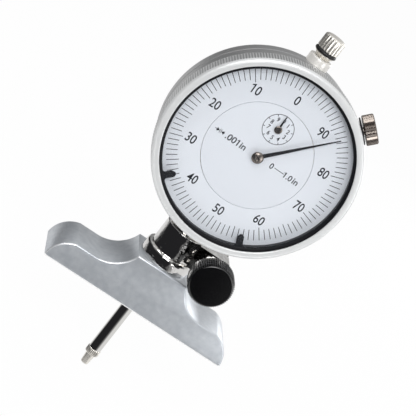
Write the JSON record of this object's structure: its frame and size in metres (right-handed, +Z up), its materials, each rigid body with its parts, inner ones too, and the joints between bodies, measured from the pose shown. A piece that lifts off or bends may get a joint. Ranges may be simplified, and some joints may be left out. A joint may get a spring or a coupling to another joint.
{
  "type": "dial depth gauge",
  "caption": "Dial depth gauge: a dial indicator clamped by its stem in a shaped measuring base, with a spring-loaded spindle that reads depth.",
  "frame": {"origin": "centre of the measuring face, on the spindle axis", "axes": "+Z up along the spindle, the dial faces -Y, +X to the right of someone facing the dial"},
  "size_m": [0.06, 0.0242, 0.1193],
  "materials": {
    "ground_steel": "ground",
    "chrome": "mirror",
    "steel": "satin",
    "satin_alloy": "satin",
    "black_plastic": "satin",
    "brass": "satin",
    "clear": "clear",
    "black_rubber": "matt",
    "black_alloy": "matt black",
    "dial_plate": "pale blue white"
  },
  "bodies": {
    "base": {"base_block": "ground_steel", "stem_holder": "chrome"},
    "clamp_slide": {"clamp_washer": "steel"},
    "clamp_turn": {"clamp_knob": "black_plastic", "clamp_screw": "steel"},
    "indicator": {"stem": "steel", "stem_bushes": "brass", "case": "satin_alloy", "back_cover": "satin_alloy", "back_cover_screws": "steel", "top_bushing": "satin_alloy", "bezel_snap_ring": "steel", "bezel_lock_washer": "black_alloy", "movement_plate": "brass", "plate_screws": "steel", "front_bridge": "brass", "bridge_pillars": "brass", "bridge_screws": "steel", "rack_bridge": "brass", "rack_bridge_posts": "brass", "pivot_bushes": "brass", "hairspring": "steel", "hairspring_stud": "steel", "guide_rail": "brass", "return_spring": "steel", "spring_post": "steel", "dial_centre": "dial_plate"},
    "bezel": {"bezel": "satin_alloy", "crystal": "clear", "crystal_gasket": "black_rubber", "inner_ring": "black_alloy", "dial_ring": "dial_plate"},
    "marker_a": {"marker_left": "black_alloy"},
    "marker_b": {"marker_right": "black_alloy"},
    "lock_press": {"bezel_lock_pad": "brass"},
    "lock_turn": {"bezel_lock_knob": "satin_alloy"},
    "spindle": {"spindle": "steel", "guide_pin": "steel", "contact_point": "steel", "lifting_cap": "satin_alloy", "bumper_ring": "black_rubber"},
    "rack_shaft": {"rack_arbor": "steel", "drive_gear": "brass"},
    "centre_shaft": {"centre_arbor": "steel", "main_hand": "black_alloy", "main_hand_cap": "satin_alloy"},
    "counter_shaft": {"take_up_arbor": "steel", "take_up_gear": "brass", "counter_hand": "black_alloy"}
  },
  "joints": [
    {"name": "stem_swivel", "type": "hinge", "parent": "base", "child": "indicator", "pos_m": [0, 0, 0.022], "axis": [0, 0, 1], "continuous": true},
    {"name": "bezel_rotation", "type": "hinge", "parent": "indicator", "child": "bezel", "pos_m": [0, -0.01, 0.0582], "axis": [0, 1, 0], "continuous": true},
    {"name": "marker_a_slide", "type": "hinge", "parent": "bezel", "child": "marker_a", "pos_m": [0, -0.0128, 0.0582], "axis": [0, 1, 0], "range_deg": [-28, 130]},
    {"name": "marker_b_slide", "type": "hinge", "parent": "bezel", "child": "marker_b", "pos_m": [0, -0.0128, 0.0582], "axis": [0, 1, 0], "range_deg": [-130, 28]},
    {"name": "spindle_travel", "type": "slide", "parent": "indicator", "child": "spindle", "axis": [0, 0, 1], "range_m": [0, 0.0254], "stiffness_N_per_m": 40, "springref_m": -0.025, "deforming": ["return_spring"]},
    {"name": "rack_shaft_turn", "type": "hinge", "parent": "indicator", "child": "rack_shaft", "pos_m": [-0.00514, -0.005, 0.05045], "axis": [0, 1, 0], "range_deg": [-361, 1]},
    {"name": "centre_shaft_turn", "type": "hinge", "parent": "indicator", "child": "centre_shaft", "pos_m": [0, -0.005, 0.0582], "axis": [0, 1, 0], "range_deg": [-1, 3602]},
    {"name": "counter_shaft_turn", "type": "hinge", "parent": "indicator", "child": "counter_shaft", "pos_m": [0, -0.005, 0.0675], "axis": [0, 1, 0], "range_deg": [-361, 1]},
    {"name": "clamp_knob_travel", "type": "slide", "parent": "base", "child": "clamp_slide", "axis": [0, -1, 0], "range_m": [0, 0.001]},
    {"name": "clamp_knob_turn", "type": "hinge", "parent": "clamp_slide", "child": "clamp_turn", "pos_m": [0.0112, -0.0065, 0.0217], "axis": [0, -1, 0], "range_deg": [0, 720]},
    {"name": "bezel_lock_travel", "type": "slide", "parent": "indicator", "child": "lock_press", "axis": [-0.6769, 0, -0.7361], "range_m": [0, 0.000283]},
    {"name": "bezel_lock_turn", "type": "hinge", "parent": "lock_press", "child": "lock_turn", "pos_m": [0.01963, -0.0074, 0.07955], "axis": [-0.6769, 0, -0.7361], "range_deg": [0, 256]}
  ],
  "couplings": [
    {"joint": "rack_shaft_turn", "follows": "spindle_travel", "rad_per_m": -247.37},
    {"joint": "centre_shaft_turn", "follows": "spindle_travel", "rad_per_m": 2473.7},
    {"joint": "counter_shaft_turn", "follows": "spindle_travel", "rad_per_m": -247.37},
    {"joint": "clamp_knob_turn", "follows": "clamp_knob_travel", "rad_per_m": 12566},
    {"joint": "bezel_lock_turn", "follows": "bezel_lock_travel", "rad_per_m": 15708}
  ]
}
